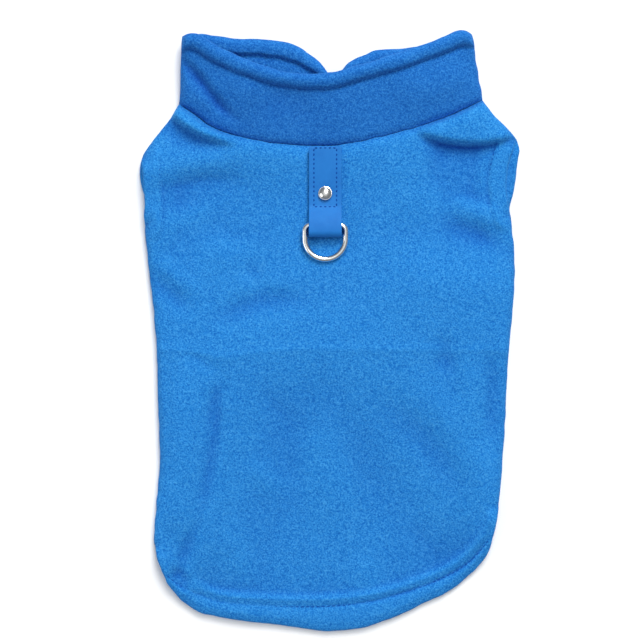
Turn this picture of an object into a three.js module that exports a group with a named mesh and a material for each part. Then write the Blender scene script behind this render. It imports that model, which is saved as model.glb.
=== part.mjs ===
import * as THREE from 'three';

// A fleece dog coat laid flat on its belly side, in millimetres.
// +X runs to the coat's right edge, +Y to the collar and +Z up from the surface it lies on.

// Cloth
const clothThickness = 2.4;
const hemThickness = 4.2;
const collarHemThickness = 4.4;
const seamGap = 0.3;

// Side and shoulder seams: both panels roll round to meet at this height
const seamHeight = 4.0;
const seamRoll = 3.6;

// Heights of the upper panel's underside
const overBellyHem = 4.8;
const overBelly = 3.6;
const dropPastHem = 50;
const hemTelegraph = 26;
const armholeTelegraph = 22;
const neckRise = 2.8;
const neckRiseReach = 34;
const neckGroove = 1.2;
const neckGrooveReach = 6;
const sidePuff = 1.3;
const sidePuffPeak = 12;

// Hems
const bottomBandAtMiddle = 19;
const bottomBandAtCorners = 9.5;
const armholeBand = 12;
const archBand = 18;
const collarBand = 10;
const bottomBandHalfWidth = 92;
const bandEase = 2;
const hemFade = 10;
const footTopY = -90;

// Collar: one flattened tube, open at the mouth
const collarFlatWidth = 170;
const collarWallHeight = 43;
const collarSeamHeight = 5.0;
const collarClearance = 9.0;
const collarRiseReach = 14;
const collarFoldRadius = 5.0;

// Leash tab, rivet and ring
const tabCentreX = -2.6;
const tabWidth = 18.8;
const tabTopY = 106.4;
const tabFoldY = 54.4;
const tabSewnFromY = 71;
const leather = 1.2;
const tabGap = 0.5;
const rivetY = 79.7;
const rivetRadius = 4;
const rivetHeight = 2.2;
const rivetBrim = 0.5;
const ringWire = 3.4;
const ringWidth = 26.8;
const ringBarY = 61.4;
const ringLowestY = 40.2;
const ringCorner = 3.2;
const ringClearance = 0.6;

// The strap's upper layer slopes from the loop down to the sewn part, past and above the ring's bar
const slopeTopOutside = 1.5;
const slopeTopInside = 1.2;
const slopeFootOutside = 5;
const slopeFootInside = 4.6;
const slopeHeightOutside = 1.9;
const slopeHeightInside = 0.8;
const loopEndInset = 1.5;
const tabStationInset = 2.4;
const tabStationStep = 5;

// How finely the pieces are drawn
const lineStep = 3;
const edgeStep = 1.5;
const splineDivisions = 600;
const sideInsets = [0, 0.35, 1.3, 2.7, 4.2];
const hemInsets = [0, 0.3, 1.0, 2.3];
const neckInsets = [0, 3, 7];
const collarFoldInsets = [0, 0.5, 1.8, 3.6, 5.4];
const collarBaseInsets = [0, 3, 8, 14];
const collarEdgeInsets = [0, 0.35, 1.1, 2.4, 6, 9, 12];
const panelWidth = 205;
const panelLength = 290;
const bellyLength = 240;
const backColumns = 25;
const backRows = 34;
const bellyColumns = 14;
const bellyRows = 18;
const collarColumns = 14;
const collarRows = 3;
const loopSteps = 10;
const rivetRings = 6;
const rivetSides = 24;
const ringArcSteps = 8;
const ringWireSides = 12;
const samePoint = 0.1;
const weldsPerMillimetre = 500;

function table(columns, rows) {
  const names = columns.split(' ');
  return rows.map((row) => Object.fromEntries(names.map((name, index) => [name, row[index]])));
}

// Edges of both panels at each height up the coat, from the hem corners to the collar
const sections = table('y backLeft backRight bellyLeft bellyRight', [
  [-80, -98.3, 99.4, -98.3, 99.4],
  [-55, -98.4, 101.1, -98.4, 101.1],
  [-27, -99.2, 102.4, -99.2, 102.4],
  [0, -100.3, 104.4, -100.3, 104.4],
  [25, -102.8, 106.3, -102.8, 106.3],
  [46, -105.4, 106.4, -105.4, 106.4],
  [62, -106.5, 104.6, -106.5, 104.6],
  [72, -106.3, 102.7, -104.8, 103.9],
  [82, -106.5, 101.4, -107.7, 106.4],
  [92, -107.0, 102.2, -109.4, 107.8],
  [100, -107.4, 103.5, -108.2, 108.9],
  [106, -104.9, 105.6, -104.9, 109.3],
  [112, -100.9, 106.3, -100.9, 106.6],
  [117, -96.8, 102.6, -96.8, 102.6],
  [124, -91.4, 95.4, -91.4, 95.4],
]);

// Lower edges of the sides, which turn in to the bottom hem
const leftFoot = [[-93.5, -144], [-98.6, -131.5], [-101.2, -118], [-99.9, -99]];
const rightFoot = [[83, -138], [91.4, -126.6], [94.8, -114], [97.4, -100.5]];

const bottomHem = [
  [-93.5, -144], [-85, -154.8], [-75, -161.6], [-59, -165.5], [-31, -168.9], [-2.7, -172.6],
  [11.6, -171.8], [26.6, -168.4], [43.8, -161.7], [58.2, -154.8], [71.4, -147.9], [83, -138],
];
const bellyHem = [
  [-101.1, -122.6], [-90.7, -115], [-79.2, -98], [-70, -75], [-64.8, -50], [-58, -29.5],
  [-46, -16], [-22.9, -11], [8.8, -12.2], [27.2, -22], [46.1, -41], [66.3, -66.3],
  [80.6, -85.8], [89.3, -95.6], [97.3, -100.8],
];
const neckLeft = [-87, 131.5];
const neckRight = [88.4, 133.8];
const backNeck = [
  neckLeft, [-77.5, 124.3], [-67.7, 118], [-51.6, 112.6], [-35.5, 109.6], [-10.8, 107.4],
  [7.6, 107.9], [29.5, 112.4], [45.6, 116.8], [61.7, 122], [77.8, 128.3], neckRight,
];
const bellyNeck = [
  neckLeft, [-74.6, 128.6], [-43, 125.8], [-25.7, 122.4], [-10.2, 116.6], [1.9, 110.8],
  [12.8, 115.6], [27.7, 121], [43.3, 124], [63.4, 126.9], [77.8, 129.8], neckRight,
];
const collarLeft = [-84.7, 169.2];
const collarRight = [81.4, 170.8];
const collarNearEdge = [
  collarLeft, [-77.5, 170.6], [-66, 164.4], [-52, 157.6], [-38, 152.2], [-20, 147.9], [-2.7, 147.6],
  [19, 153], [36, 158.6], [52.5, 163.9], [65, 168.9], [74, 172.3], collarRight,
];
const collarFarEdge = [
  collarLeft, [-79.2, 172.1], [-67, 171.2], [-53, 169.6], [-39, 169.2], [-23.4, 167], [-14.2, 162.8],
  [-5.6, 156], [1.9, 146.6], [10.8, 155.6], [18.5, 159.6], [28.3, 163], [42, 164.2], [58, 166.3],
  [72, 169.6], collarRight,
];

// Where the side seams and armholes run, by height up each side
const leftSide = { seamFrom: -122.6, armholeFrom: 61, armholeTo: 101 };
const rightSide = { seamFrom: -100.8, armholeFrom: 67, armholeTo: 109.5 };

// Folds of the upper panel: a ridge where height is positive, a trough where it is negative
const backFolds = [
  { name: 'shoulder roll, right', halfWidth: 11, height: 3.6, path: [[52, 115], [72, 118], [92, 118.5]] },
  { name: 'crease, right', halfWidth: 8, height: -1.5, path: [[62, 106], [78, 103.5], [96, 106]] },
  { name: 'shoulder roll, left', halfWidth: 9, height: 2.2, path: [[-86, 124], [-74, 116.5], [-60, 110.5]] },
  { name: 'crease, left', halfWidth: 6, height: -1.2, path: [[-88, 117.5], [-77, 109.5], [-63, 105]] },
  { name: 'shoulder wrinkle', halfWidth: 10, height: -0.8, path: [[-99, 66], [-76, 74], [-52.8, 85.8]] },
  { name: 'armhole arc, right', halfWidth: 9, height: -0.9, path: [[70, 65], [82, 57.5], [94, 55]] },
  { name: 'armhole bulge, right', halfWidth: 12, height: 1.2, path: [[78, 72], [88, 71]] },
  { name: 'side crease, left', halfWidth: 9, height: -0.8, path: [[-97, 28], [-83, 13]] },
  { name: 'middle trough', halfWidth: 13, height: -0.7, path: [[-72, -2], [-52, 11], [-26, 17]] },
  { name: 'leg trough, left', halfWidth: 12, height: -0.6, path: [[-80, -50], [-84, -85]] },
  { name: 'hem ripple, left', halfWidth: 14, height: 1.0, path: [[-52, -120], [-46, -145]] },
  { name: 'hem ripple, right', halfWidth: 15, height: 0.9, path: [[34, -112], [40, -136]] },
];
const collarFolds = [
  { name: 'diagonal crease, left', halfWidth: 7, height: -1.6, path: [[-80, 149], [-68, 135], [-58, 126]] },
  { name: 'soft dip, right', halfWidth: 12, height: -1.0, path: [[52, 132], [58, 146]] },
];

// 0 below the first value, 1 above the second, smooth between
const smooth = (from, to, value) => THREE.MathUtils.smoothstep(value, from, to);

const clamp = (value, low, high) => Math.min(high, Math.max(low, value));

function curve(points) {
  const places = points.map(([x, y]) => new THREE.Vector3(x, y, 0));
  const spline = new THREE.CatmullRomCurve3(places, false, 'centripetal');
  spline.arcLengthDivisions = splineDivisions;
  return spline;
}

function traced(spline, stepLength = lineStep) {
  return spline.getSpacedPoints(Math.ceil(spline.getLength() / stepLength));
}

// Nearest point of a broken line: its distance, its place and whether the asked point lies to its left
function nearest(line, x, y) {
  let best = { distance: Infinity, x: 0, y: 0, isLeft: true };
  for (let index = 1; index < line.length; index += 1) {
    const start = line[index - 1];
    const runX = line[index].x - start.x;
    const runY = line[index].y - start.y;
    const along = clamp(((x - start.x) * runX + (y - start.y) * runY) / (runX ** 2 + runY ** 2), 0, 1);
    const nearX = start.x + along * runX;
    const nearY = start.y + along * runY;
    const distance = Math.hypot(x - nearX, y - nearY);
    const isLeft = runX * (y - start.y) - runY * (x - start.x) > 0;
    if (distance < best.distance) best = { distance, x: nearX, y: nearY, isLeft };
  }
  return best;
}

function nearestOf(lines, x, y) {
  const found = lines.map((line) => nearest(line, x, y));
  return found.reduce((best, next) => (next.distance < best.distance ? next : best));
}

function foldHeight(folds, x, y) {
  let height = 0;
  for (const fold of folds) {
    const line = fold.path.map(([px, py]) => ({ x: px, y: py }));
    const reach = clamp(nearest(line, x, y).distance / fold.halfWidth, 0, 1);
    height += fold.height * Math.cos((reach * Math.PI) / 2) ** 2;
  }
  return height;
}

// Height of a quarter round, from 0 at the edge to 1 at its full radius
function quarterRound(distance, radius) {
  const inside = 1 - clamp(distance / radius, 0, 1);
  return Math.sqrt(1 - inside ** 2);
}

// Side edges of a panel, from its foot to its neck corner
function sideEdge(foot, column, corner) {
  const rows = sections.filter((row) => row.y > footTopY);
  return curve([...foot, ...rows.map((row) => [row[column], row.y]), corner]);
}

const isSeam = (side, y) => (y > side.seamFrom && y < side.armholeFrom) || y > side.armholeTo;

// Runs of an edge that are sewn, and runs that are hemmed
function splitEdge(spline, side) {
  const runs = { seams: [], hems: [] };
  const line = traced(spline, edgeStep);
  let run = [line[0]];
  for (let index = 1; index < line.length; index += 1) {
    run.push(line[index]);
    const ends = index === line.length - 1;
    const turns = !ends && isSeam(side, line[index].y) !== isSeam(side, line[index + 1].y);
    if (!ends && !turns) continue;
    (isSeam(side, line[index].y) ? runs.seams : runs.hems).push(run);
    run = [line[index]];
  }
  return runs;
}

// A patch stretched between four edges, sampled at the given shares of its width and length
function patch(edges, across, along) {
  const { bottom, top, left, right } = edges;
  return along.map((v) => across.map((u) => {
    const point = new THREE.Vector3();
    point.addScaledVector(bottom.getPointAt(u), 1 - v);
    point.addScaledVector(top.getPointAt(u), v);
    point.addScaledVector(left.getPointAt(v), 1 - u);
    point.addScaledVector(right.getPointAt(v), u);
    point.addScaledVector(bottom.getPointAt(0), -(1 - u) * (1 - v));
    point.addScaledVector(bottom.getPointAt(1), -u * (1 - v));
    point.addScaledVector(top.getPointAt(0), -(1 - u) * v);
    point.addScaledVector(top.getPointAt(1), -u * v);
    return point;
  }));
}

// Shares of a length: closely spaced at each end, even in the middle
function shares(length, startInsets, evenCount, endInsets) {
  const from = startInsets[startInsets.length - 1];
  const to = length - endInsets[endInsets.length - 1];
  const marks = [...startInsets];
  for (let index = 1; index < evenCount; index += 1) marks.push(from + ((to - from) * index) / evenCount);
  marks.push(...[...endInsets].reverse().map((inset) => length - inset));
  return marks.map((mark) => clamp(mark / length, 0, 1));
}

// One closed body between two grids of points; the grids may close on themselves sideways
function bodyBetween(outer, inner, closesSideways = false) {
  const positions = [];
  const known = new Map();
  const index = [];
  const vertex = (point) => {
    const key = [point.x, point.y, point.z].map((value) => Math.round(value * weldsPerMillimetre)).join();
    if (!known.has(key)) {
      known.set(key, positions.length / 3);
      positions.push(point.x, point.y, point.z);
    }
    return known.get(key);
  };
  const triangle = (a, b, c) => {
    if (a !== b && b !== c && c !== a) index.push(a, b, c);
  };
  const quad = (a, b, c, d) => {
    triangle(vertex(a), vertex(b), vertex(c));
    triangle(vertex(a), vertex(c), vertex(d));
  };
  const rows = outer.length;
  const columns = outer[0].length;
  const sideways = closesSideways ? columns : columns - 1;
  for (let row = 0; row + 1 < rows; row += 1) {
    for (let column = 0; column < sideways; column += 1) {
      const next = (column + 1) % columns;
      quad(outer[row][column], outer[row][next], outer[row + 1][next], outer[row + 1][column]);
      quad(inner[row][column], inner[row + 1][column], inner[row + 1][next], inner[row][next]);
    }
  }
  for (let column = 0; column < sideways; column += 1) {
    const next = (column + 1) % columns;
    const last = rows - 1;
    quad(inner[0][column], inner[0][next], outer[0][next], outer[0][column]);
    quad(outer[last][column], outer[last][next], inner[last][next], inner[last][column]);
  }
  if (!closesSideways) {
    const last = columns - 1;
    for (let row = 0; row + 1 < rows; row += 1) {
      quad(outer[row][0], outer[row + 1][0], inner[row + 1][0], inner[row][0]);
      quad(inner[row][last], inner[row + 1][last], outer[row + 1][last], outer[row][last]);
    }
  }
  const geometry = new THREE.BufferGeometry();
  geometry.setAttribute('position', new THREE.Float32BufferAttribute(positions, 3));
  geometry.setIndex(index);
  geometry.computeVertexNormals();
  return geometry;
}

// Draws two points together into the round edge of a hem
function closeHem(outer, inner, distance, thickness) {
  const middle = outer.clone().add(inner).multiplyScalar(0.5);
  const open = quarterRound(distance, thickness / 2);
  outer.sub(middle).multiplyScalar(open).add(middle);
  inner.sub(middle).multiplyScalar(open).add(middle);
}

// The edges that both panels share
const backEdges = {
  bottom: curve(bottomHem),
  top: curve(backNeck),
  left: sideEdge(leftFoot, 'backLeft', neckLeft),
  right: sideEdge(rightFoot, 'backRight', neckRight),
};
const bellyEdges = {
  bottom: curve(bellyHem),
  top: curve(bellyNeck),
  left: sideEdge([bellyHem[0], [-101.2, -118], [-99.9, -99]], 'bellyLeft', neckLeft),
  right: sideEdge([bellyHem[bellyHem.length - 1]], 'bellyRight', neckRight),
};
const neckLine = traced(backEdges.top);
const bellyHemLine = traced(bellyEdges.bottom);
const backSides = [splitEdge(backEdges.left, leftSide), splitEdge(backEdges.right, rightSide)];
const bellySides = [splitEdge(bellyEdges.left, leftSide), splitEdge(bellyEdges.right, rightSide)];
const backSeams = backSides.flatMap((side) => side.seams);
const bellySeams = bellySides.flatMap((side) => side.seams);
const backArmholes = backSides.flatMap((side) => side.hems.filter((line) => line[0].y > 0));
const bellyArmholes = bellySides.flatMap((side) => side.hems);
const backFeet = backSides.flatMap((side) => side.hems.filter((line) => line[0].y < 0));
const backHem = [traced(backEdges.bottom, edgeStep), ...backFeet];

// Distance past the belly panel's hem, positive over the belly panel
function overBellyPanel(x, y) {
  const near = nearest(bellyHemLine, x, y);
  return near.isLeft ? near.distance : -near.distance;
}

function bottomBand(x) {
  const outwards = clamp((x / bottomBandHalfWidth) ** 2, 0, 1);
  return bottomBandAtMiddle - (bottomBandAtMiddle - bottomBandAtCorners) * outwards;
}

// 1 where the cloth is turned double, easing to 0 past the band's stitched edge
const withinBand = (distance, band) => 1 - smooth(band - bandEase, band + bandEase, distance);

function backThickness(x, y, seamDistance) {
  const bottom = nearestOf(backHem, x, y).distance;
  const armhole = nearestOf(backArmholes, x, y).distance;
  const inBottom = withinBand(bottom, bottomBand(x));
  const inArmhole = withinBand(armhole, armholeBand);
  const turned = Math.max(inBottom, inArmhole) * smooth(0, hemFade, seamDistance);
  return clothThickness + (hemThickness - clothThickness) * turned;
}

// Underside of the upper panel before its edges roll
function backUnderside(x, y) {
  const past = overBellyPanel(x, y);
  const climb = smooth(-dropPastHem, -1, past);
  const armhole = nearestOf(backArmholes, x, y).distance;
  const onHem = Math.max(
    1 - smooth(archBand / 2, hemTelegraph, past),
    1 - smooth(armholeTelegraph / 2, armholeTelegraph, armhole),
  );
  const onBelly = overBelly + (overBellyHem - overBelly) * onHem;
  const puffReach = nearestOf(backSeams, x, y).distance / sidePuffPeak;
  const puff = sidePuff * puffReach * Math.exp(1 - puffReach);
  const fromNeck = nearest(neckLine, x, y).distance;
  const neck = neckRise * (1 - smooth(0, neckRiseReach, fromNeck));
  const groove = -neckGroove * (1 - smooth(0, neckGrooveReach, fromNeck));
  const folded = foldHeight(backFolds, x, y);
  const height = climb * (onBelly + puff + neck + groove + folded) + (1 - climb) * Math.max(0, folded);
  return Math.max(height, climb * (clothThickness + 2 * seamGap));
}

// Rolls a panel's edge round to the seam height; side is 1 for the upper panel, -1 for the lower
function rollToSeam(outer, inner, seam, thickness, side) {
  const round = quarterRound(seam.distance, seamRoll);
  const meet = seamHeight + (side * seamGap) / 2;
  outer.z = meet + (outer.z - meet) * round;
  inner.z = meet + (inner.z - meet) * round;
  if (seam.distance >= seamRoll || !seam.inward) return;
  inner.addScaledVector(seam.inward, thickness * (1 - seam.distance / seamRoll));
}

// On a seam itself, the way into the cloth is taken from the panel's middle, mostly sideways
const onSeam = 0.05;
const lengthwiseShare = 0.15;

// Direction into the cloth from its nearest seam
function inwardFrom(seams, x, y, centre) {
  const near = nearestOf(seams, x, y);
  const away = new THREE.Vector3(x - near.x, y - near.y, 0);
  if (away.length() < onSeam) away.set(centre.x - x, (centre.y - y) * lengthwiseShare, 0);
  return { distance: near.distance, inward: away.normalize() };
}

function buildPanel({ edges, across, along, seams, hems, side, neckInset, heights }) {
  const grid = patch(edges, across, along);
  const centre = new THREE.Vector3();
  const outer = [];
  const inner = [];
  grid.forEach((row, rowIndex) => {
    const outerRow = [];
    const innerRow = [];
    for (const point of row) {
      if (rowIndex === grid.length - 1) point.y -= neckInset;
      const seam = inwardFrom(seams, point.x, point.y, centre);
      const { under, thickness } = heights(point.x, point.y, seam.distance);
      const low = new THREE.Vector3(point.x, point.y, under);
      const high = new THREE.Vector3(point.x, point.y, under + thickness);
      const [outside, inside] = side > 0 ? [high, low] : [low, high];
      rollToSeam(outside, inside, seam, clothThickness, side);
      closeHem(outside, inside, nearestOf(hems, point.x, point.y).distance, thickness);
      outerRow.push(side > 0 ? outside : inside);
      innerRow.push(side > 0 ? inside : outside);
    }
    outer.push(outerRow);
    inner.push(innerRow);
  });
  return bodyBetween(outer, inner);
}

function buildBackPanel() {
  return buildPanel({
    edges: backEdges,
    across: shares(panelWidth, sideInsets, backColumns, sideInsets),
    along: shares(panelLength, hemInsets, backRows, neckInsets),
    seams: backSeams,
    hems: [...backHem, ...backArmholes],
    side: 1,
    neckInset: seamGap / 2,
    heights: (x, y, seamDistance) => ({
      under: backUnderside(x, y),
      thickness: backThickness(x, y, seamDistance),
    }),
  });
}

function bellyThickness(x, y, seamDistance) {
  const arch = nearest(bellyHemLine, x, y).distance;
  const armhole = nearestOf(bellyArmholes, x, y).distance;
  const inArch = withinBand(arch, archBand);
  const inArmhole = withinBand(armhole, armholeBand);
  const turned = Math.max(inArch, inArmhole) * smooth(0, hemFade, seamDistance);
  return clothThickness + (hemThickness - clothThickness) * turned;
}

function buildBellyPanel() {
  return buildPanel({
    edges: bellyEdges,
    across: shares(panelWidth, sideInsets, bellyColumns, sideInsets),
    along: shares(bellyLength, hemInsets, bellyRows, [0]),
    seams: bellySeams,
    hems: [bellyHemLine, ...bellyArmholes],
    side: -1,
    neckInset: seamGap / 2,
    heights: (x, y, seamDistance) => ({ under: 0, thickness: bellyThickness(x, y, seamDistance) }),
  });
}

// Collar: the near wall lies over the far wall and both turn into each other at the sides
const collarNear = { base: backEdges.top, edge: curve(collarNearEdge) };
const collarFar = { base: bellyEdges.top, edge: curve(collarFarEdge) };

function collarPoint(wall, share, rise) {
  const point = wall.base.getPointAt(share).lerp(wall.edge.getPointAt(share), rise);
  point.y += (seamGap / 2) * (1 - rise);
  return point;
}

function buildCollar() {
  const across = shares(collarFlatWidth, collarFoldInsets, collarColumns, collarFoldInsets);
  const rises = shares(collarWallHeight, collarBaseInsets, collarRows, collarEdgeInsets);
  const outer = [];
  const inner = [];
  for (const rise of rises) {
    const fromBase = rise * collarWallHeight;
    const fromEdge = collarWallHeight - fromBase;
    const risen = smooth(0, collarRiseReach, fromBase);
    const lift = collarSeamHeight + (collarClearance - collarSeamHeight) * risen;
    const turned = withinBand(fromEdge, collarBand);
    const thickness = clothThickness + (collarHemThickness - clothThickness) * turned;
    const foldMiddle = (lift + clothThickness) / 2;
    const outerRow = [];
    const innerRow = [];
    const add = (wall, share, isNear) => {
      const point = collarPoint(wall, share, rise);
      const fromFold = Math.min(share, 1 - share) * collarFlatWidth;
      const round = quarterRound(fromFold, collarFoldRadius);
      const inwards = share < 0.5 ? 1 : -1;
      const shift = inwards * clothThickness * (1 - clamp(fromFold / collarFoldRadius, 0, 1));
      const crease = isNear ? foldHeight(collarFolds, point.x, point.y) : 0;
      const outerZ = isNear ? lift + thickness + crease : 0;
      const innerZ = isNear ? lift + crease : thickness;
      const outside = new THREE.Vector3(point.x, point.y, foldMiddle + (outerZ - foldMiddle) * round);
      const inside = new THREE.Vector3(point.x + shift, point.y, foldMiddle + (innerZ - foldMiddle) * round);
      closeHem(outside, inside, fromEdge, thickness);
      outerRow.push(outside);
      innerRow.push(inside);
    };
    for (const share of across) add(collarNear, share, true);
    for (const share of [...across].reverse().slice(1, -1)) add(collarFar, share, false);
    outer.push(outerRow);
    inner.push(innerRow);
  }
  return bodyBetween(outer, inner, true);
}

// Height of the cloth's upper side along the middle of the leash tab
const clothUnderTab = (y) => backUnderside(tabCentreX, y) + clothThickness;

const tabSeat = clothUnderTab(ringBarY) + tabGap;
const loopHole = ringWire / 2 + ringClearance;
const ringBarZ = tabSeat + leather + loopHole;
const loopRadius = loopHole + leather;
const loopCentreY = tabFoldY + loopRadius;

// Side view of the strap: two layers sewn together, opening into a loop round the ring's bar
function buildLeashTab() {
  const stations = [];
  for (let y = tabTopY - tabStationInset; y > tabSewnFromY; y -= tabStationStep) stations.push(y);
  const seatAt = (y) => clothUnderTab(y) + tabGap;
  const bothLayers = 2 * leather;
  const profile = new THREE.Shape();
  profile.moveTo(tabTopY, seatAt(tabTopY) + bothLayers);
  for (const y of stations) profile.lineTo(y, seatAt(y) + bothLayers);
  profile.lineTo(tabSewnFromY, tabSeat + bothLayers);
  profile.lineTo(ringBarY + slopeFootOutside, ringBarZ + slopeHeightOutside);
  profile.lineTo(ringBarY + slopeTopOutside, ringBarZ + loopRadius);
  profile.absarc(loopCentreY, ringBarZ, loopRadius, Math.PI / 2, -Math.PI / 2, false);
  profile.lineTo(tabSewnFromY, tabSeat);
  for (const y of [...stations].reverse()) profile.lineTo(y, seatAt(y));
  profile.lineTo(tabTopY, seatAt(tabTopY));
  profile.closePath();
  const hole = new THREE.Path();
  hole.moveTo(tabSewnFromY - loopEndInset, tabSeat + leather);
  hole.lineTo(ringBarY, tabSeat + leather);
  hole.absarc(loopCentreY, ringBarZ, loopHole, -Math.PI / 2, Math.PI / 2, true);
  hole.lineTo(ringBarY + slopeTopInside, ringBarZ + loopHole);
  hole.lineTo(ringBarY + slopeFootInside, ringBarZ + slopeHeightInside);
  hole.closePath();
  profile.holes.push(hole);
  const pull = { depth: tabWidth, bevelEnabled: false, curveSegments: loopSteps };
  const geometry = new THREE.ExtrudeGeometry(profile, pull);
  // The profile is drawn in Y and Z and pulled along X
  geometry.applyMatrix4(new THREE.Matrix4().makeBasis(
    new THREE.Vector3(0, 1, 0), new THREE.Vector3(0, 0, 1), new THREE.Vector3(1, 0, 0),
  ));
  geometry.translate(tabCentreX - tabWidth / 2, 0, 0);
  return geometry;
}

function buildRivet() {
  const dome = [new THREE.Vector2(0, 0), new THREE.Vector2(rivetRadius, 0)];
  const crown = rivetHeight - rivetBrim;
  for (let ring = 0; ring < rivetRings; ring += 1) {
    const angle = (ring / rivetRings) * (Math.PI / 2);
    dome.push(new THREE.Vector2(rivetRadius * Math.cos(angle), rivetBrim + crown * Math.sin(angle)));
  }
  dome.push(new THREE.Vector2(0, rivetHeight));
  const geometry = new THREE.LatheGeometry(dome, rivetSides);
  geometry.rotateX(Math.PI / 2);
  return geometry;
}

// Centre line of the D-ring about its bar, with the bow towards -Y
function ringLine() {
  const half = (ringWidth - ringWire) / 2;
  const bowCentre = ringLowestY + ringWire / 2 + half - ringBarY;
  const line = new THREE.Path();
  line.moveTo(-half + ringCorner, 0);
  line.lineTo(half - ringCorner, 0);
  line.absarc(half - ringCorner, -ringCorner, ringCorner, Math.PI / 2, 0, true);
  line.absarc(0, bowCentre, half, 0, -Math.PI, true);
  line.absarc(-half + ringCorner, -ringCorner, ringCorner, Math.PI, Math.PI / 2, true);
  const points = line.getPoints(ringArcSteps);
  const isNew = (point, index) => index === 0 || point.distanceTo(points[index - 1]) > samePoint;
  return points.filter(isNew).slice(0, -1);
}

// A wire bent into a closed flat loop
function loopOfWire(line, radius, sides) {
  const positions = [];
  const index = [];
  line.forEach((point, step) => {
    const before = line[(step + line.length - 1) % line.length];
    const after = line[(step + 1) % line.length];
    const across = new THREE.Vector2(before.y - after.y, after.x - before.x).normalize();
    for (let side = 0; side < sides; side += 1) {
      const angle = (2 * Math.PI * side) / sides;
      const out = radius * Math.cos(angle);
      positions.push(point.x + across.x * out, point.y + across.y * out, radius * Math.sin(angle));
    }
  });
  const at = (step, side) => (step % line.length) * sides + (side % sides);
  for (let step = 0; step < line.length; step += 1) {
    for (let side = 0; side < sides; side += 1) {
      index.push(at(step, side), at(step, side + 1), at(step + 1, side + 1));
      index.push(at(step, side), at(step + 1, side + 1), at(step + 1, side));
    }
  }
  const geometry = new THREE.BufferGeometry();
  geometry.setAttribute('position', new THREE.Float32BufferAttribute(positions, 3));
  geometry.setIndex(index);
  geometry.computeVertexNormals();
  return geometry;
}

const fleece = new THREE.MeshStandardMaterial({ color: 0x2a7dd4, roughness: 0.95, metalness: 0 });
const insideFleece = new THREE.MeshStandardMaterial({ color: 0x2168c0, roughness: 0.95, metalness: 0 });
const smoothLeather = new THREE.MeshStandardMaterial({ color: 0x3585d6, roughness: 0.45, metalness: 0 });
const chrome = new THREE.MeshStandardMaterial({ color: 0xc8c8c4, roughness: 0.15, metalness: 1 });

const coat = new THREE.Group();

function addPiece(name, geometry, material) {
  const mesh = new THREE.Mesh(geometry, material);
  mesh.name = name;
  coat.add(mesh);
  return mesh;
}

addPiece('back_panel', buildBackPanel(), fleece);
addPiece('belly_panel', buildBellyPanel(), insideFleece);
addPiece('collar', buildCollar(), fleece);
addPiece('leash_tab', buildLeashTab(), smoothLeather);

const rivet = addPiece('rivet', buildRivet(), chrome);
const rivetSeat = clothUnderTab(rivetY + rivetRadius) + tabGap + 2 * leather;
rivet.position.set(tabCentreX, rivetY, rivetSeat + seamGap);

// The ring lies on the cloth below its bar
const ring = addPiece('d_ring', loopOfWire(ringLine(), ringWire / 2, ringWireSides), chrome);
const ringReach = ringBarY - ringLowestY - ringWire / 2;
const ringDrop = ringBarZ - (clothUnderTab(ringLowestY) + seamGap + ringWire / 2);
ring.position.set(tabCentreX, ringBarY, ringBarZ);
ring.rotation.x = Math.asin(ringDrop / ringReach);

export default coat;
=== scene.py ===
import math

import bpy
import numpy as np
from mathutils import Matrix, Vector


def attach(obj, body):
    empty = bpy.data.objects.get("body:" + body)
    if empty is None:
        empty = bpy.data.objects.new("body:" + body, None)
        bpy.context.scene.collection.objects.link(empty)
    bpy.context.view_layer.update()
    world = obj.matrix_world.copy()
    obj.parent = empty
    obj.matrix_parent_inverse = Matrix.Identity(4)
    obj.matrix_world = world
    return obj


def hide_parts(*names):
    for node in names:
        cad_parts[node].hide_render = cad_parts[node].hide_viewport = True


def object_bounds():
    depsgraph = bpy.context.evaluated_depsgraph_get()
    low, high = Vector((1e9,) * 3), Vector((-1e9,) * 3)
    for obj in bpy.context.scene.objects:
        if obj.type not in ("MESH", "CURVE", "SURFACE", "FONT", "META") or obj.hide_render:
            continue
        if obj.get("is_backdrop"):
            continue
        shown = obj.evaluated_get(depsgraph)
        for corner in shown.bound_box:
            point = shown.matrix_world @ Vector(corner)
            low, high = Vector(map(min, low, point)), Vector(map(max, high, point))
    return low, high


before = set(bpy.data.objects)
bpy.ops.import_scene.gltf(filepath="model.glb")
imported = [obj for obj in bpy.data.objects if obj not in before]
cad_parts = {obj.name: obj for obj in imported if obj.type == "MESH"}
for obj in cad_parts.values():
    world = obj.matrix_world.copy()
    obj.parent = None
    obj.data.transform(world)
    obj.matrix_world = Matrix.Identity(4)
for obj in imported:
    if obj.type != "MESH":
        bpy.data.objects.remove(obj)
cad_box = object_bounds()

# All sizes below are in millimetres, and each mesh is written in metres.
MILLIMETRE = 0.001

# Cloth
CLOTH = 2.4
BODY_HEM = 4.2
COLLAR_HEM = 4.4
SEAM_GAP = 0.08
SEAM_HEIGHT = 4
SEAM_ROLL = 3.6

# Underside of the back panel
OVER_BELLY_HEM = 4.8
OVER_BELLY = 3.6
DROP_PAST_HEM = 50
HEM_TELEGRAPH = 34
ARMHOLE_TELEGRAPH = 22
NECK_RISE = 2.8
NECK_RISE_REACH = 34
NECK_HELD_DOWN = 0.5
NECK_HELD_REACH = 5
NECK_FOLDS_FROM = 3
NECK_GROOVE = 1.3
NECK_GROOVE_REACH = 2
SIDE_PUFF = 1.3
SIDE_PUFF_PEAK = 12

# Hems
ARMHOLE_BAND = 10
ARCH_BAND = 18
COLLAR_BAND = 9.5
HEM_FADE = 10
STITCH_DEPTH = 0.9
STITCH_HALF_WIDTH = 1.1
HEM_PUFF = 0.8
HEM_PUFF_GROWS = (1, 5)
ARMHOLE_PULL = 0.25
BELLY_PULL = 0.4

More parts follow.
